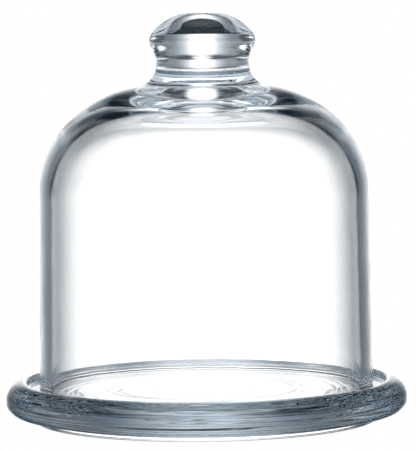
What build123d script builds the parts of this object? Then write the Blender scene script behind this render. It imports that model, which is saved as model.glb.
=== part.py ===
from build123d import *
import math
import os

# Glass cheese dome: a pressed glass plate and a bell-shaped glass dome with a solid
# knob.  Both are turned about Z.  Millimetres, +Z up, origin on the axis where the foot
# ring stands on the table.  Outlines are drawn in (radius, height); angles in degrees.

# ---- plate -------------------------------------------------------------------------
plate_radius = 65.0          # widest point of the rounded rim
rim_top_z = 13.0             # top of the rim above the table
rim_shoulder_z = 7.1         # the rim's upper round starts here and ends at its top
rim_belly_z = 6.6            # the rim's lower round starts here
rim_lower_round = 4.0
underside_slope = 9.5        # rise of the rim's underside from the foot ring outwards
rim_width = 6.8              # glass between the rim's widest point and its upright inner face
gallery_depth = 2.0          # drop from the rim's top to the seat
gallery_edge_round = 0.7     # top edge of the inner face
gallery_corner_round = 0.4   # bottom corner of the inner face
foot_inset = 9.7             # how far the foot ring stands in from the widest point
foot_width = 5.0             # ring that stands on the table
foot_edge_round = 0.5
recess_depth = 1.2           # hollow of the underside inside the foot ring

# ---- dome --------------------------------------------------------------------------
gallery_clearance = 4.15     # radial gap between the dome's lower edge and the rim
wall = 3.9                   # glass thickness of the upright wall
draft_angle = 0.7            # lean of the wall towards the axis
wall_height = 62.9           # upright wall, from the seat to the start of the shoulder
lower_edge_round = 0.9       # both corners of the dome's lower edge
shoulder_radius = 34.2       # outer curve from the wall towards the crown
shoulder_end_angle = 67.0    # steepness at which the flatter crown takes over
crown_peak_radius = 12.9     # where the crown's curve would be level, hidden by the neck
inner_shoulder_radius = 29.0
ceiling_thickness = 7.5      # glass between the flat ceiling and the foot of the neck

# ---- knob, one piece with the dome ---------------------------------------------------
neck_radius = 15.0           # narrowest point under the knob
neck_height = 7.6            # narrowest point above the foot of the neck
neck_blend = 6.8             # hollow curve from the crown into the neck
knob_radius = 17.15          # widest point of the knob
knob_round = 4.0             # rounding of the knob's widest edge
cap_radius = 21.6            # slightly domed top of the knob
knob_height = 23.8           # top of the knob above the foot of the neck

gallery_radius = plate_radius - rim_width
foot_outer_radius = plate_radius - foot_inset
seat_z = rim_top_z - gallery_depth
dome_radius = gallery_radius - gallery_clearance


def sin(angle):
    """Sine of an angle in degrees."""
    return math.sin(math.radians(angle))


def cos(angle):
    """Cosine of an angle in degrees."""
    return math.cos(math.radians(angle))


def tan(angle):
    """Tangent of an angle in degrees."""
    return math.tan(math.radians(angle))


def angle_at(reach, radius):
    """Angle on an arc of a given radius where it lies this far out from its centre."""
    return math.degrees(math.acos(reach / radius))


def turned(edges, roundings):
    """Fill a closed outline, round its listed corners and turn it about Z."""
    outline = make_face(edges)
    for radius, height, rounding in roundings:
        corners = outline.vertices().sort_by_distance(Vector(radius, height, 0))
        outline = fillet(corners[0], rounding)
    return revolve(Plane.XZ * outline, Axis.Z)


def base_plate():
    """Plate with a foot ring, an overhanging round rim and a flat seat inside the rim."""
    upper_round = rim_top_z - rim_shoulder_z
    crest_radius = plate_radius - upper_round
    belly_radius = plate_radius - rim_lower_round
    foot_inner_radius = foot_outer_radius - foot_width
    under_start = -(90 - underside_slope)
    under_edge = (belly_radius + rim_lower_round * cos(under_start),
                  rim_belly_z + rim_lower_round * sin(under_start))
    foot_top = under_edge[1] - (under_edge[0] - foot_outer_radius) * tan(underside_slope)
    edges = [
        Line((0, recess_depth), (foot_inner_radius, recess_depth)),
        Line((foot_inner_radius, recess_depth), (foot_inner_radius, 0)),
        Line((foot_inner_radius, 0), (foot_outer_radius, 0)),
        Line((foot_outer_radius, 0), (foot_outer_radius, foot_top)),
        Line((foot_outer_radius, foot_top), under_edge),
        CenterArc((belly_radius, rim_belly_z), rim_lower_round, under_start, -under_start),
        Line((plate_radius, rim_belly_z), (plate_radius, rim_shoulder_z)),
        CenterArc((crest_radius, rim_shoulder_z), upper_round, 0, 90),
        Line((crest_radius, rim_top_z), (gallery_radius, rim_top_z)),
        Line((gallery_radius, rim_top_z), (gallery_radius, seat_z)),
        Line((gallery_radius, seat_z), (0, seat_z)),
        Line((0, seat_z), (0, recess_depth)),
    ]
    return turned(edges, [
        (foot_inner_radius, recess_depth, foot_edge_round),
        (foot_inner_radius, 0, foot_edge_round),
        (foot_outer_radius, 0, foot_edge_round),
        (gallery_radius, rim_top_z, gallery_edge_round),
        (gallery_radius, seat_z, gallery_corner_round),
    ])


def outer_bell():
    """Outline of the dome's outside from the seat to the neck, and the neck's foot height."""
    shoulder_z = seat_z + wall_height
    wall_top = dome_radius - wall_height * tan(draft_angle)
    shoulder = (wall_top - shoulder_radius * cos(draft_angle),
                shoulder_z - shoulder_radius * sin(draft_angle))
    step = (shoulder[0] - crown_peak_radius) / cos(shoulder_end_angle)
    crown_radius = shoulder_radius + step
    crown = (crown_peak_radius, shoulder[1] - step * sin(shoulder_end_angle))
    neck_angle = angle_at(neck_radius - crown[0], crown_radius)
    edges = [
        Line((dome_radius, seat_z), (wall_top, shoulder_z)),
        CenterArc(shoulder, shoulder_radius, draft_angle, shoulder_end_angle - draft_angle),
        CenterArc(crown, crown_radius, shoulder_end_angle, neck_angle - shoulder_end_angle),
    ]
    return edges, crown[1] + crown_radius * sin(neck_angle)


def knob(neck_foot):
    """Outline of the knob from the neck's foot over the cap to the axis, and its top height."""
    top = neck_foot + knob_height
    cap_z = top - cap_radius
    round_radius = knob_radius - knob_round
    reach = cap_radius - knob_round
    cap_angle = angle_at(round_radius, reach)
    widest_z = cap_z + reach * sin(cap_angle)
    neck_z = neck_foot + neck_height
    edges = [
        Line((neck_radius, neck_foot), (neck_radius, neck_z)),
        Spline((neck_radius, neck_z), (knob_radius, widest_z), tangents=[(0, 1), (0, 1)]),
        CenterArc((round_radius, widest_z), knob_round, 0, cap_angle),
        CenterArc((0, cap_z), cap_radius, cap_angle, 90 - cap_angle),
    ]
    return edges, top


def inner_bell(ceiling_z):
    """Outline of the dome's inside from the flat ceiling on the axis down to the seat."""
    inner_radius = dome_radius - wall
    wall_top_z = ceiling_z - inner_shoulder_radius * (1 - sin(draft_angle))
    wall_top = inner_radius - (wall_top_z - seat_z) * tan(draft_angle)
    flat_radius = wall_top - inner_shoulder_radius * cos(draft_angle)
    return [
        Line((0, ceiling_z), (flat_radius, ceiling_z)),
        CenterArc((flat_radius, ceiling_z - inner_shoulder_radius), inner_shoulder_radius,
                  draft_angle, 90 - draft_angle),
        Line((wall_top, wall_top_z), (inner_radius, seat_z)),
    ]


def glass_dome():
    """Bell with a leaning wall, a round shoulder, a flat ceiling and a solid knob."""
    inner_radius = dome_radius - wall
    outside, neck_foot = outer_bell()
    knob_edges, top = knob(neck_foot)
    ceiling_z = neck_foot - ceiling_thickness
    edges = [
        *outside,
        *knob_edges,
        Line((0, top), (0, ceiling_z)),
        *inner_bell(ceiling_z),
        Line((inner_radius, seat_z), (dome_radius, seat_z)),
    ]
    return turned(edges, [
        (inner_radius, seat_z, lower_edge_round),
        (dome_radius, seat_z, lower_edge_round),
        (neck_radius, neck_foot, neck_blend),
    ])


def main():
    """Write one STEP file for each piece of glass."""
    os.makedirs("parts", exist_ok=True)
    pieces = {"base_plate": base_plate(), "glass_dome": glass_dome()}
    for name, piece in pieces.items():
        size = piece.bounding_box()
        print(f"{name}: {piece.volume / 1000:.1f} cm3, z {size.min.Z:.2f} to {size.max.Z:.2f} mm")
        export_step(piece, f"parts/{name}.step")


main()
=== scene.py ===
"""Blender scene of a pressed-glass cheese dome: a low plate and the domed cover that lifts off it.

The cover is a thick-walled bell with a solid ball knob. It stands in the shallow gallery of a
plate with a rounded rim and a foot ring. Sizes are in millimetres and degrees, as a glass mould
maker would write them, and every mesh is turned into metres in the CAD frame.
"""

from __future__ import annotations

import logging
import math
from dataclasses import dataclass
from enum import Enum

import bpy
import numpy as np
from mathutils import Matrix, Vector


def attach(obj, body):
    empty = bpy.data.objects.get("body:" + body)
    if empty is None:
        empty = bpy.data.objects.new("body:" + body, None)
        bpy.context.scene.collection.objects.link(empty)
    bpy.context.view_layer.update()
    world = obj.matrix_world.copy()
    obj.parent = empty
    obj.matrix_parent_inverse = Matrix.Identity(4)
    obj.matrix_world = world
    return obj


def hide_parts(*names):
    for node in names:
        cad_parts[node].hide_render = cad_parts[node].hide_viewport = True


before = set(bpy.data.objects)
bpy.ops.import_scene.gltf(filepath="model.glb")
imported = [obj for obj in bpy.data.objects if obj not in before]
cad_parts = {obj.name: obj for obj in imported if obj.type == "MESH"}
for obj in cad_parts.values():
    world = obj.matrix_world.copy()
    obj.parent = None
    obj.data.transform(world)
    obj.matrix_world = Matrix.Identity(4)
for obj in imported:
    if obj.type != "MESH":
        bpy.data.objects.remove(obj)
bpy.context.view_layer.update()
LOG = logging.getLogger("cheese_dome")
MM = 0.001
FULL_TURN = 2.0 * math.pi
Point = tuple[float, float]


class Body(Enum):
    """The two CAD bodies: the plate stands still and the dome lifts off."""

    PLATE = "plate"
    DOME = "dome"


class Slot(Enum):
    """The record's material slots."""

    PLATE = "plate_glass"
    DOME = "dome_glass"


class Outline:
    """A turned outline in the radius and height plane, drawn point by point."""

    def __init__(self) -> None:
        """Starts with no points."""
        self.points: list[Point] = []

    def add(self, *points: Point) -> Outline:
        """Adds points, leaving out repeats.

        Args:
            points: Radius and height pairs, in order.

        Returns:
            The outline itself.
        """
        for point in points:
            if not self.points or math.dist(point, self.points[-1]) > 1e-4:
                self.points.append(point)
        return self

    def line(self, end: Point, steps: int) -> Outline:
        """Draws a straight run from the last point.

        Args:
            end: Where the run ends.
            steps: How many equal steps it is divided into.

        Returns:
            The outline itself.
        """
        r0, z0 = self.points[-1]
        for i in range(1, steps + 1):
            t = i / steps
            self.add((r0 + (end[0] - r0) * t, z0 + (end[1] - z0) * t))
        return self

    def arc(self, centre: Point, radius: float, start: float, end: float, steps: int) -> Outline:
        """Draws an arc.

        Args:
            centre: Centre of the arc.
            radius: Its radius.
            start: Start angle in degrees, 0 outwards and 90 upwards.
            end: End angle in degrees.
            steps: How many points after the first.

        Returns:
            The outline itself.
        """
        for i in range(steps + 1):
            a = math.radians(start + (end - start) * i / steps)
            self.add((centre[0] + radius * math.cos(a), centre[1] + radius * math.sin(a)))
        return self

    def corner(self, before: Point, at: Point, after: Point, radius: float, steps: int = 8) -> Outline:
        """Draws the rounding of a corner between two straight runs.

        Args:
            before: A point on the run that comes in.
            at: The sharp corner.
            after: A point on the run that goes out.
            radius: Radius of the rounding.
            steps: How many points after the first.

        Returns:
            The outline itself.
        """
        a, b, c = (Vector((*p, 0.0)) for p in (before, at, after))
        u, v = (a - b).normalized(), (c - b).normalized()
        half = u.angle(v) / 2
        centre = b + (u + v).normalized() * (radius / math.sin(half))
        p, q = (b + w * (radius / math.tan(half)) - centre for w in (u, v))
        turn = math.atan2(p.x * q.y - p.y * q.x, p.dot(q))
        first = math.degrees(math.atan2(p.y, p.x))
        return self.arc((centre.x, centre.y), radius, first, first + math.degrees(turn), steps)


@dataclass(frozen=True)
class Ripple:
    """A slight wave that the mould left in one stretch of a surface.

    Distances are in millimetres along the piece's outline, from its first point.

    Attributes:
        height: Half the wave's height.
        pitch: Distance between crests, along the outline.
        start: Where along the outline the wave starts.
        end: Where it ends.
        lobes: How many times the wave drifts in and out round the piece.
        drift: How far it drifts, as a share of the pitch.
        seed: Number that sets how the lobes lie.
        unevenness: How much the height differs round the piece, as a share.
        last_phase: Largest start angle of that difference, in radians.
    """

    height: float
    pitch: float
    start: float
    end: float
    lobes: int = 5
    drift: float = 0.3
    seed: int = 1
    unevenness: float = 0.4
    last_phase: float = 6.28

    def offset(self, run: np.ndarray, turn: np.ndarray) -> np.ndarray:
        """How far the wave stands out.

        Args:
            run: Distance along the outline at each point.
            turn: Angle round the piece at each point, in radians.

        Returns:
            The offset at each point, in millimetres.
        """
        draw = np.random.default_rng(self.seed)
        wander = np.zeros_like(turn)
        for k in range(1, self.lobes + 1):
            wander += draw.normal() / k * np.cos(k * turn + draw.uniform(0.0, FULL_TURN))
        rise = np.clip((run - self.start) / self.pitch, 0, 1)
        fall = np.clip((self.end - run) / self.pitch, 0, 1)
        wave = np.sin(FULL_TURN * (run / self.pitch + self.drift * wander))
        uneven = 1.0 + self.unevenness * np.cos(2 * turn + draw.uniform(0.0, self.last_phase))
        return self.height * (rise * fall) * wave * uneven


@dataclass
class Turned:
    """A closed glass piece turned from an outline, with the mould's slight waves.

    Attributes:
        name: Name of the piece.
        ripples: The waves in its surface.
        segments: Flats round the piece.
    """

    name: str
    ripples: list[Ripple]
    segments: int = 288

    def build(self, outline: Outline) -> bpy.types.Object:
        """Turns the outline into a closed mesh.

        Args:
            outline: Points from the axis, round the section, and back to the axis.

        Returns:
            The new object, in metres.
        """
        section = np.array(outline.points)
        run = np.concatenate(([0.0], np.cumsum(np.hypot(*np.diff(section, axis=0).T))))
        along = np.gradient(section, run, axis=0)
        along /= np.linalg.norm(along, axis=1)[:, None]
        normal = np.stack((along[:, 1], -along[:, 0]), axis=1)
        turn = np.linspace(0.0, FULL_TURN, self.segments, endpoint=False)
        runs, turns = np.meshgrid(run, turn, indexing="ij")
        lift = sum((ripple.offset(runs, turns) for ripple in self.ripples), np.zeros_like(runs))
        radius = section[:, 0][:, None] + lift * normal[:, 0][:, None]
        height = section[:, 1][:, None] + lift * normal[:, 1][:, None]
        x, y = radius * np.cos(turns), radius * np.sin(turns)
        first, last = (0.0, 0.0, section[0, 1]), (0.0, 0.0, section[-1, 1])
        rings = np.stack((x, y, height), axis=2)[1:-1]
        rows = len(rings)
        points = [first, *map(tuple, rings.reshape(-1, 3)), last]
        faces: list[tuple[int, ...]] = []
        for j in range(self.segments):
            k = (j + 1) % self.segments
            faces.append((0, 1 + k, 1 + j))
            for i in range(rows - 1):
                a, b = 1 + i * self.segments, 1 + (i + 1) * self.segments
                faces.append((a + j, a + k, b + k, b + j))
            top = 1 + (rows - 1) * self.segments
            faces.append((top + j, top + k, len(points) - 1))
        mesh = bpy.data.meshes.new(self.name)
        mesh.from_pydata([tuple(c * MM for c in p) for p in points], [], faces)
        mesh.polygons.foreach_set("use_smooth", [True] * len(mesh.polygons))
        mesh.update()
        piece = bpy.data.objects.new(self.name, mesh)
        bpy.context.scene.collection.objects.link(piece)
        return piece


def node(tree: bpy.types.NodeTree, kind: str, **inputs: object) -> bpy.types.Node:
    """Adds a shader node and sets its plain inputs.

    Args:
        tree: Tree to add to.
        kind: The node's type without its ShaderNode prefix.
        inputs: Values by socket name, with spaces as underscores, or node attributes.

    Returns:
        The new node.
    """
    made = tree.nodes.new("ShaderNode" + kind)
    for key, value in inputs.items():
        if hasattr(made, key) and key not in {"inputs", "outputs"}:
            setattr(made, key, value)
        else:
            made.inputs[key.replace("_", " ")].default_value = value
    return made


def glowing_cloth(name: str, strength: float = 1.0, painted: str = "") -> bpy.types.Material:
    """Makes a material that only glows, and isn't sampled as a lamp.

    Args:
        name: Name of the material.
        strength: How brightly it glows.
        painted: Name of the mesh colours that it glows with, or nothing for white.

    Returns:
        The material.
    """
    made = bpy.data.materials.new(name)
    made.use_nodes = True
    tree = made.node_tree
    tree.nodes.clear()
    out, lamp = node(tree, "OutputMaterial"), node(tree, "Emission", Strength=strength)
    if painted:
        glow = node(tree, "Attribute", attribute_name=painted)
        tree.links.new(glow.outputs["Color"], lamp.inputs["Color"])
    tree.links.new(lamp.outputs["Emission"], out.inputs["Surface"])
    made.cycles.emission_sampling = "NONE"
    return made


def mould_skin_group() -> bpy.types.NodeTree:
    """The group that gives pressed glass its slightly uneven skin.

    Returns:
        A group with Grain and Ring inputs and Height and Haze outputs.
    """
    name = "Mould Skin"
    if name in bpy.data.node_groups:
        return bpy.data.node_groups[name]
    tree = bpy.data.node_groups.new(name, "ShaderNodeTree")
    for label, scale in (("Grain", 60.0), ("Ring", 25.0)):
        socket = tree.interface.new_socket(label, in_out="INPUT", socket_type="NodeSocketFloat")
        socket.default_value = scale
    for label in ("Height", "Haze"):
        tree.interface.new_socket(label, in_out="OUTPUT", socket_type="NodeSocketFloat")
    enter, leave = tree.nodes.new("NodeGroupInput"), tree.nodes.new("NodeGroupOutput")
    link = tree.links.new
    place = node(tree, "TexCoord")
    swell = node(tree, "TexNoise", Detail=2.0, Roughness=0.45)
    link(place.outputs["Object"], swell.inputs["Vector"])
    link(enter.outputs["Grain"], swell.inputs["Scale"])
    squeeze = node(tree, "Mapping", Scale=(0.25, 0.25, 1.0))
    link(place.outputs["Object"], squeeze.inputs["Vector"])
    cord = node(tree, "TexNoise", Detail=3.0, Roughness=0.5)
    link(squeeze.outputs["Vector"], cord.inputs["Vector"])
    link(enter.outputs["Ring"], cord.inputs["Scale"])
    both = node(tree, "Math", operation="ADD")
    link(swell.outputs["Fac"], both.inputs[0])
    link(cord.outputs["Fac"], both.inputs[1])
    link(both.outputs[0], leave.inputs["Height"])
    smear = node(tree, "TexNoise", Scale=35.0, Detail=5.0, Roughness=0.6)
    link(place.outputs["Object"], smear.inputs["Vector"])
    spread = node(tree, "MapRange", From_Min=0.55, From_Max=0.8, To_Min=0.0, To_Max=1.0)
    link(smear.outputs["Fac"], spread.inputs["Value"])
    link(spread.outputs["Result"], leave.inputs["Haze"])
    return tree


@dataclass(frozen=True)
class ClearGlass:
    """Clear pressed glass with the faint blue-grey of thick soda-lime glass.

    Attributes:
        name: Name of the material.
        bend: Refractive index.
        tint: Colour of light that has passed through a long way.
        depth: How strongly thick glass takes the tint, per metre.
        grain: Scale of the skin's uneven swell.
        relief: Height of the skin's unevenness, in metres.
        haze: Roughness where the glass is smeared.
    """

    name: str
    bend: float = 1.52
    tint: tuple[float, float, float] = (0.74, 0.84, 0.92)
    depth: float = 8.0
    grain: float = 60.0
    relief: float = 0.00004
    haze: float = 0.02

    def material(self) -> bpy.types.Material:
        """Makes the material.

        Returns:
            The glass material.
        """
        made = bpy.data.materials.new(self.name)
        made.use_nodes = True
        tree = made.node_tree
        tree.nodes.clear()
        link = tree.links.new
        out = node(tree, "OutputMaterial")
        shell = node(tree, "BsdfPrincipled", IOR=self.bend, Transmission_Weight=1.0)
        shell.inputs["Base Color"].default_value = (1.0, 1.0, 1.0, 1.0)
        skin = tree.nodes.new("ShaderNodeGroup")
        skin.node_tree = mould_skin_group()
        skin.inputs["Grain"].default_value = self.grain
        relief = node(tree, "Bump", Strength=1.0, Distance=self.relief)
        link(skin.outputs["Height"], relief.inputs["Height"])
        link(relief.outputs["Normal"], shell.inputs["Normal"])
        smear = node(tree, "MapRange", To_Min=0.0, To_Max=self.haze)
        link(skin.outputs["Haze"], smear.inputs["Value"])
        link(smear.outputs["Result"], shell.inputs["Roughness"])
        link(shell.outputs["BSDF"], out.inputs["Surface"])
        body = node(tree, "VolumeAbsorption", Density=self.depth)
        body.inputs["Color"].default_value = (*self.tint, 1.0)
        link(body.outputs["Volume"], out.inputs["Volume"])
        return made


@dataclass
class BasePlate:
    """The plate: a rounded rim, a shallow gallery for the dome and a foot ring below.

    Attributes:
        finish: The plate's glass.
        radius: Outer radius, at the rim's widest.
        rim_top: Height of the rim's top.
        shoulder: Height where the rim's upper round starts.
        belly: Height where its lower round ends.
        lower_round: Radius of the lower round.
        underside_slope: Slope from the foot ring out to the rim, in degrees.
        gallery_radius: Radius of the gallery's wall.
        gallery_depth: Depth of the gallery below the rim's top.
        gallery_edge_round: Round where the rim turns down into the gallery.
        gallery_corner_round: Round at the foot of the gallery's wall.
        foot_radius: Outer radius of the foot ring.
        foot_width: Width of the foot ring.
        foot_round: Round of its edges.
        recess: How far the underside stands above the foot ring's foot.
        recess_gap: How far short of the foot ring the underside's plain points end.
    """

    finish: ClearGlass
    radius: float = 65.0
    rim_top: float = 13.0
    shoulder: float = 7.1
    belly: float = 6.6
    lower_round: float = 4.0
    underside_slope: float = 9.5
    gallery_radius: float = 58.2
    gallery_depth: float = 2.0
    gallery_edge_round: float = 0.7
    gallery_corner_round: float = 0.4
    foot_radius: float = 55.3
    foot_width: float = 5.0
    foot_round: float = 0.5
    recess: float = 1.2
    recess_gap: float = 2.0

    def section(self) -> Outline:
        """Draws half the plate's section, from the axis below round to the axis on top.

        Returns:
            The outline.
        """
        drop = self.rim_top - self.shoulder
        slope = math.radians(self.underside_slope)
        turn = 90.0 - self.underside_slope
        under = (
            self.radius - self.lower_round + self.lower_round * math.sin(slope),
            self.belly - self.lower_round * math.cos(slope),
        )
        foot_top = under[1] - (under[0] - self.foot_radius) * math.tan(slope)
        inside, seat = self.foot_radius - self.foot_width, self.rim_top - self.gallery_depth
        crest = self.radius - drop
        made = Outline().add((0.0, self.recess)).line((inside - self.recess_gap, self.recess), 120)
        made.corner((0.0, self.recess), (inside, self.recess), (inside, 0.0), self.foot_round)
        made.corner((inside, self.recess), (inside, 0.0), (self.foot_radius, 0.0), self.foot_round)
        made.line((self.foot_radius - self.foot_round, 0.0), 5)
        made.corner((inside, 0.0), (self.foot_radius, 0.0), (self.foot_radius, foot_top), self.foot_round)
        made.line((self.foot_radius, foot_top), 3).line(under, 8)
        made.arc((self.radius - self.lower_round, self.belly), self.lower_round, -turn, 0.0, 24)
        made.line((self.radius, self.shoulder), 3)
        made.arc((crest, self.shoulder), drop, 0.0, 90.0, 36)
        wall = (self.gallery_radius, self.rim_top), (self.gallery_radius, seat)
        made.corner((crest, self.rim_top), *wall, self.gallery_edge_round)
        made.corner(*wall, (0.0, seat), self.gallery_corner_round)
        return made.line((0.0, seat), 50)

    def build(self) -> bpy.types.Object:
        """Builds and dresses the plate.

        Returns:
            The plate.
        """
        # Along the outline the underside ends at 48 mm, the rim runs from 64 to 80, and the seat
        # starts at 82. The rim's wave has faded out at 84, and the dome's foot stands at 86 to 90.
        ripples = [
            Ripple(0.03, 2.6, 60.0, 84.0, seed=3),
            Ripple(0.008, 11.0, 0.0, 50.0, seed=4),
            Ripple(0.06, 3.2, 39.0, 47.0, lobes=4, drift=0.8, seed=8),
            Ripple(0.05, 3.6, 26.0, 34.0, lobes=3, drift=0.9, seed=9),
            Ripple(0.05, 4.0, 10.0, 19.0, lobes=3, drift=0.9, seed=10),
        ]
        piece = Turned("base_plate_glass", ripples).build(self.section())
        piece.data.materials.append(self.finish.material())
        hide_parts("base_plate")
        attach(piece, Body.PLATE.value)
        return piece


@dataclass
class GlassDome:
    """The cover: a thick bell with a shouldered crown and a solid ball knob.

    Attributes:
        finish: The dome's glass.
        seat: Height of the seat it stands on.
        air: Gap between the seat and its foot.
        radius: Outer radius at the foot.
        wall: Thickness of the wall at the foot.
        draft: Lean of the wall, in degrees.
        wall_height: Height of the straight wall above the seat.
        edge_round: Round of the foot's edges.
        shoulder_radius: Radius of the shoulder's curve.
        shoulder_end: Where the shoulder ends, in degrees above level.
        crown_peak: Radius at which the crown's curve is centred.
        inner_shoulder: Radius of the shoulder's curve inside.
        ceiling: Thickness of the glass from the ceiling up to the neck's foot.
        neck_radius: Radius of the neck.
        neck_height: Height above its foot where the neck starts to swell.
        neck_blend: Radius of the blend from the crown into the neck.
        knob_radius: Radius of the knob at its widest.
        knob_round: Radius of the round at its side.
        cap_radius: Radius of the curve over its top.
        knob_height: Height of its top above the neck's foot.
        neck_steps: Points up the swell from the neck to the knob.
        wall_end: The inner wall's last plain point, outward of the foot's inner edge and above it.
    """

    finish: ClearGlass
    seat: float = 11.0
    air: float = 0.05
    radius: float = 54.05
    wall: float = 3.9
    draft: float = 0.7
    wall_height: float = 62.9
    edge_round: float = 0.9
    shoulder_radius: float = 34.2
    shoulder_end: float = 67.0
    crown_peak: float = 12.9
    inner_shoulder: float = 29.0
    ceiling: float = 7.5
    neck_radius: float = 15.0
    neck_height: float = 7.6
    neck_blend: float = 6.8
    knob_radius: float = 17.15
    knob_round: float = 4.0
    cap_radius: float = 21.6
    knob_height: float = 23.8
    neck_steps: int = 30
    wall_end: Point = (0.02, 1.5)

    def section(self) -> Outline:
        """Draws half the dome's section, from the axis at the ceiling down, round and up to the top.

        Returns:
            The outline.
        """
        draft, bend = math.radians(self.draft), math.radians(self.shoulder_end)
        taper, low = math.tan(draft), self.seat + self.air
        top = (self.radius - self.wall_height * taper, self.seat + self.wall_height)
        near = (
            top[0] - self.shoulder_radius * math.cos(draft),
            top[1] - self.shoulder_radius * math.sin(draft),
        )
        step = (near[0] - self.crown_peak) / math.cos(bend)
        crown_radius = self.shoulder_radius + step
        far = (self.crown_peak, near[1] - step * math.sin(bend))
        neck_foot = far[1] + math.sqrt(crown_radius**2 - (self.neck_radius - far[0]) ** 2)
        reach = crown_radius + self.neck_blend
        blend_r = self.neck_radius + self.neck_blend
        blend_z = far[1] + math.sqrt(reach**2 - (blend_r - far[0]) ** 2)
        meet = math.degrees(math.atan2(blend_z - far[1], blend_r - far[0]))
        summit = neck_foot + self.knob_height
        cap_z, side_r = summit - self.cap_radius, self.knob_radius - self.knob_round
        tip = math.degrees(math.acos(side_r / (self.cap_radius - self.knob_round)))
        side_z = cap_z + (self.cap_radius - self.knob_round) * math.sin(math.radians(tip))
        neck_z = neck_foot + self.neck_height
        roof = neck_foot - self.ceiling
        inner = self.radius - self.wall
        spring = roof - self.inner_shoulder * (1.0 - math.sin(draft))
        flat = inner - (spring - self.seat) * taper - self.inner_shoulder * math.cos(draft)
        made = Outline().add((0.0, roof)).line((flat, roof), 14)
        made.arc((flat, roof - self.inner_shoulder), self.inner_shoulder, 90.0, self.draft, 60)
        start = made.points[-1]
        made.line((inner + self.wall_end[0], low + self.wall_end[1]), 40)
        made.corner(start, (inner, low), (self.radius, low), self.edge_round)
        made.corner((inner, low), (self.radius, low), top, self.edge_round)
        made.line(top, 40)
        made.arc(near, self.shoulder_radius, self.draft, self.shoulder_end, 60)
        made.arc(far, crown_radius, self.shoulder_end, meet, 24)
        made.arc((blend_r, blend_z), self.neck_blend, 180.0 + meet, 180.0, 30)
        made.line((self.neck_radius, neck_z), 3)
        swell = self.knob_radius - self.neck_radius
        for i in range(1, self.neck_steps + 1):
            t = i / self.neck_steps
            ease = 3 * t * t - 2 * t**3
            made.add((self.neck_radius + swell * ease, neck_z + (side_z - neck_z) * t))
        made.arc((side_r, side_z), self.knob_round, 0.0, tip, 24)
        return made.arc((0.0, cap_z), self.cap_radius, tip, 90.0, 40)

    def build(self) -> bpy.types.Object:
        """Builds and dresses the dome.

        Returns:
            The dome.
        """
        ripples = [Ripple(0.01, 18.0, 10.0, 230.0, seed=7)]
        piece = Turned("dome_glass", ripples).build(self.section())
        piece.data.materials.append(self.finish.material())
        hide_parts("glass_dome")
        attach(piece, Body.DOME.value)
        return piece


def fade(value: np.ndarray, start: float, end: float) -> np.ndarray:
    """Smooth fall from 1 at start to 0 at end.

    Args:
        value: Where each direction stands.
        start: Where the fall begins.
        end: Where it ends, above or below start.

    Returns:
        The share that is left.
    """
    t = np.clip((end - value) / (end - start), 0.0, 1.0)
    return t * t * (3.0 - 2.0 * t)


@dataclass(frozen=True)
class SoftLight:
    """One soft light: a patch of the tent's cloth that glows.

    Attributes:
        brightness: Brightness of its middle.
        azimuth: Where its middle is, to the right of straight behind.
        half_width: Half its width.
        elevation: How high its middle is.
        half_height: Half its height.
        blur: How softly its sides fade, in degrees.
        blur_up: How softly its top and bottom fade, in degrees.
    """

    brightness: float
    azimuth: float
    half_width: float
    elevation: float
    half_height: float
    blur: float = 12.0
    blur_up: float = 6.0

    def shine(self, azimuth: np.ndarray, elevation: np.ndarray) -> np.ndarray:
        """Brightness it adds in each direction.

        Args:
            azimuth: Degrees to the right of straight behind.
            elevation: Degrees above the line of sight.

        Returns:
            The brightness.
        """
        across = np.abs((azimuth - self.azimuth + 180.0) % 360.0 - 180.0)
        along = np.abs(elevation - self.elevation)
        soft, soft_up = self.blur / 2, self.blur_up / 2
        sides = fade(across, self.half_width - soft, self.half_width + soft)
        ends = fade(along, self.half_height - soft_up, self.half_height + soft_up)
        return self.brightness * sides * ends


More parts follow.
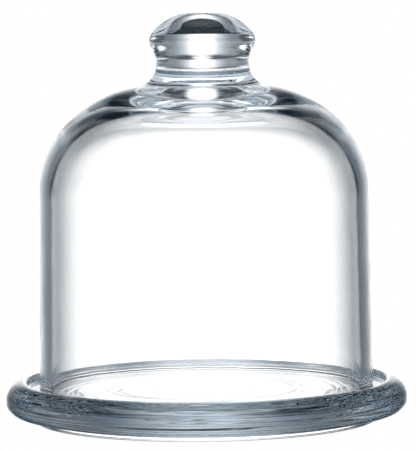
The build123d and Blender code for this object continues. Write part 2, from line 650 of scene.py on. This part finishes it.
@dataclass
class LightTent:
    """A closed tent of soft light that stands still round the object, with a panel on each side.

    Angles are degrees: azimuth 0 is straight behind the object and grows to the right, elevation is
    above the front view's line of sight. Brightness 1 is paper white.

    Attributes:
        panel: Brightness of the back panel's middle.
        panel_width: How far out the panel's light falls to about a third.
        panel_top: Elevation of the panel's upper edge.
        panel_edge: How softly that edge fades, to each side of it.
        panel_foot: Elevations between which its light fades downwards.
        panel_thins: Elevations between which it grows narrower and dimmer upwards.
        thinning: How much narrower and dimmer it gets, as a share.
        lights: The soft lights round the object.
        base: Brightness of the dark room.
        cool: How much bluer a dim part of the tent is, as powers for red, green and blue.
        radius: Radius of the tent in metres.
        steps: Flats round the tent.
    """

    panel: float = 1.65
    panel_width: float = 13.0
    panel_top: float = 30.0
    panel_edge: float = 2.0
    panel_foot: tuple[float, float] = (-7.0, -17.0)
    panel_thins: tuple[float, float] = (8.0, 26.0)
    thinning: float = 0.5
    lights: tuple[SoftLight, ...] = (
        # High behind: a narrow strip above the panel, and its dimmer spill.
        SoftLight(2.2, 0.0, 7.0, 34.0, 6.0, blur=8.0),
        SoftLight(0.7, 0.0, 20.0, 52.0, 10.0, blur=10.0, blur_up=10.0),
        # Overhead, all round.
        SoftLight(0.2, 0.0, 190.0, 80.0, 16.0, blur_up=10.0),
        # In front: one large light above the camera, one at its height.
        SoftLight(1.9, 180.0, 50.0, 45.0, 20.0, blur=30.0, blur_up=10.0),
        SoftLight(1.2, 180.0, 36.0, -6.0, 22.0, blur=30.0, blur_up=10.0),
        # A panel on the left and one on the right.
        SoftLight(1.0, -90.0, 18.0, -10.0, 18.0, blur=24.0, blur_up=10.0),
        SoftLight(1.0, 90.0, 18.0, -10.0, 18.0, blur=24.0, blur_up=10.0),
        # Two low bands round the front and sides, open behind.
        SoftLight(0.2, 180.0, 126.0, -6.0, 12.0, blur=16.0, blur_up=8.0),
        SoftLight(0.65, 180.0, 140.0, -24.0, 13.0, blur=12.0, blur_up=8.0),
        # Below: the glass doesn't see the floor, so these light it from there, brightest at the back.
        SoftLight(2.4, 0.0, 84.0, -80.0, 20.0, blur=20.0, blur_up=10.0),
        SoftLight(0.8, 180.0, 84.0, -80.0, 20.0, blur=20.0, blur_up=10.0),
        # A band between those and the low bands, all round.
        SoftLight(0.75, 0.0, 190.0, -48.0, 14.0, blur_up=8.0),
        # Dim wings on both sides of the back panel, low and then high, a little brighter on the left.
        SoftLight(0.20, -34.0, 20.0, -4.0, 6.0, blur=16.0, blur_up=6.0),
        SoftLight(0.16, 34.0, 20.0, -4.0, 6.0, blur=16.0, blur_up=6.0),
        SoftLight(0.20, -24.0, 10.0, 14.0, 12.0, blur=8.0, blur_up=8.0),
        SoftLight(0.16, 24.0, 10.0, 14.0, 12.0, blur=8.0, blur_up=8.0),
    )
    base: float = 0.012
    cool: tuple[float, float, float] = (1.1, 1.0, 0.91)
    radius: float = 20.0
    steps: int = 360

    def glow(self, azimuth: np.ndarray, elevation: np.ndarray) -> np.ndarray:
        """Brightness of the tent in each direction.

        Args:
            azimuth: Degrees to the right of straight behind.
            elevation: Degrees above the line of sight.

        Returns:
            The brightness.
        """
        thinned = 1.0 - self.thinning * (1.0 - fade(elevation, *self.panel_thins))
        top = fade(elevation, self.panel_top - self.panel_edge, self.panel_top + self.panel_edge)
        ends = top * fade(elevation, *self.panel_foot)
        spread = np.exp(-((azimuth / (self.panel_width * thinned)) ** 2))
        back = self.panel * spread * thinned * ends
        return self.base + back + sum(light.shine(azimuth, elevation) for light in self.lights)

    def build(self, camera: bpy.types.Object) -> bpy.types.Object:
        """Builds the tent round the object, squared up to the front view's camera.

        Args:
            camera: The camera of the front view, whose place and direction the tent takes once.

        Returns:
            The tent.
        """
        columns, rows = self.steps, self.steps // 2
        azimuth = np.linspace(-180.0, 180.0, columns, endpoint=False)
        elevation = np.linspace(-90.0, 90.0, rows + 1)
        az, el = (a.ravel() for a in np.meshgrid(azimuth, elevation))
        flat = np.cos(np.radians(el))
        points = np.stack(
            (flat * np.sin(np.radians(az)), np.sin(np.radians(el)), -flat * np.cos(np.radians(az))), axis=1
        )
        faces: list[tuple[int, ...]] = []
        for i in range(rows):
            low, high = i * columns, (i + 1) * columns
            for j in range(columns):
                k = (j + 1) % columns
                faces.append((low + j, low + k, high + k, high + j))
        mesh = bpy.data.meshes.new("light_tent")
        mesh.from_pydata([tuple(p * self.radius) for p in points], [], faces)
        glow = self.glow(az, el)
        tinted = [np.where(glow < 1.0, glow**power, glow) for power in self.cool]
        paint = mesh.color_attributes.new("glow", "FLOAT_COLOR", "POINT")
        paint.data.foreach_set("color", np.stack((*tinted, np.ones_like(glow)), axis=1).ravel())
        mesh.materials.append(glowing_cloth("Light Tent", painted="glow"))
        tent = bpy.data.objects.new("light_tent", mesh)
        bpy.context.scene.collection.objects.link(tent)
        tent.matrix_world = camera.matrix_world.copy()
        tent.visible_camera = tent.visible_diffuse = tent.visible_shadow = False
        return tent


@dataclass
class Studio:
    """The pale floor and room, and the camera on its stand. Lengths are in metres.

    Attributes:
        distance: From the camera to the point it looks at.
        tilt: How far it looks down, in degrees.
        roll: How far it leans, in degrees.
        lens: Focal length in millimetres.
        sensor: Width of its sensor in millimetres.
        reach: How far it sees.
        aim_height: Height of the point it looks at.
        aim_side: How far that point is to the right.
        floor_size: Width of the floor.
        floor_height: Height of the floor, just under the foot ring.
        shade_height: Height of the shade, just under the floor.
        shade_glow: Brightness of the painted contact shadow under the foot ring.
        bounces: How often light is followed through the glass.
    """

    distance: float = 1.2012
    tilt: float = math.degrees(0.0815)
    roll: float = math.degrees(0.0125)
    lens: float = 297.2
    sensor: float = 36.0
    reach: float = 50.0
    aim_height: float = 0.062964
    aim_side: float = 0.0013
    floor_size: float = 6.0
    floor_height: float = -0.0001
    shade_height: float = -0.0002
    shade_glow: float = 0.1
    bounces: int = 32

    def camera(self) -> bpy.types.Object:
        """Sets up the camera.

        Returns:
            The camera.
        """
        made = bpy.data.objects.new("camera", bpy.data.cameras.new("camera"))
        made.data.lens, made.data.sensor_width = self.lens, self.sensor
        made.data.clip_end = self.reach
        aim = Vector((self.aim_side, 0.0, self.aim_height))
        tilt = math.radians(self.tilt)
        place = aim + Vector((0.0, -self.distance * math.cos(tilt), self.distance * math.sin(tilt)))
        look = (aim - place).to_track_quat("-Z", "Y").to_matrix().to_4x4()
        lean = Matrix.Rotation(-math.radians(self.roll), 4, "Z")
        made.matrix_world = Matrix.Translation(place) @ look @ lean
        bpy.context.scene.collection.objects.link(made)
        bpy.context.scene.camera = made
        return made

    def floor(self) -> bpy.types.Object:
        """Lays the pale floor.

        Returns:
            The floor.
        """
        half = self.floor_size / 2
        mesh = bpy.data.meshes.new("floor")
        corners = [(-half, -half, 0), (half, -half, 0), (half, half, 0), (-half, half, 0)]
        mesh.from_pydata(corners, [], [(0, 1, 2, 3)])
        mesh.materials.append(glowing_cloth("Pale Floor"))
        floor = bpy.data.objects.new("floor", mesh)
        floor.location.z = self.floor_height
        bpy.context.scene.collection.objects.link(floor)
        floor.visible_transmission = floor.visible_glossy = False
        return floor

    def contact_shade(self, inner: float = 50.0, outer: float = 55.6, steps: int = 96) -> bpy.types.Object:
        """Lays a narrow dim ring under the foot ring as a painted contact shadow, which only shows through
        the glass.

        Args:
            inner: Inner radius in millimetres.
            outer: Outer radius in millimetres.
            steps: Flats round it.

        Returns:
            The shade.
        """
        turn = [FULL_TURN * i / steps for i in range(steps)]
        points = [(r * MM * math.cos(a), r * MM * math.sin(a), 0.0) for a in turn for r in (inner, outer)]
        count = len(points)
        faces = [(2 * i, 2 * i + 1, (2 * i + 3) % count, (2 * i + 2) % count) for i in range(steps)]
        mesh = bpy.data.meshes.new("contact_shade")
        mesh.from_pydata(points, [], faces)
        # Painted contact shadow: the ring glows only faintly, so the glass shows a dark band where the
        # foot ring stands.
        mesh.materials.append(glowing_cloth("Contact Shade", strength=self.shade_glow))
        shade = bpy.data.objects.new("contact_shade", mesh)
        shade.location.z = self.shade_height
        bpy.context.scene.collection.objects.link(shade)
        shade.visible_camera = False
        return shade

    def room(self) -> None:
        """Makes the room white, and sets how far light is followed through the glass."""
        scene = bpy.context.scene
        world = bpy.data.worlds.new("room")
        world.use_nodes = True
        world.node_tree.nodes["Background"].inputs["Color"].default_value = (1.0, 1.0, 1.0, 1.0)
        scene.world = world
        scene.view_settings.view_transform = "Standard"
        light = scene.cycles
        light.max_bounces = light.transmission_bounces = light.glossy_bounces = self.bounces
        light.transparent_max_bounces = self.bounces
        light.blur_glossy = 0.0


def makers() -> list[BasePlate | GlassDome]:
    """The two glass pieces with their finishes, in the order they are built."""
    plate_glass = ClearGlass("Plate Glass", tint=(0.66, 0.72, 0.76), depth=24.0)
    return [BasePlate(plate_glass), GlassDome(ClearGlass("Dome Glass"))]


def main() -> None:
    """Builds the studio and the two glass pieces."""
    logging.basicConfig(level=logging.INFO, format="%(name)s: %(message)s")
    studio = Studio()
    camera = studio.camera()
    studio.room()
    studio.floor()
    studio.contact_shade()
    LightTent().build(camera)
    for maker in makers():
        piece = maker.build()
        LOG.info("built %s with %d faces", piece.name, len(piece.data.polygons))


if __name__ == "__main__":
    main()
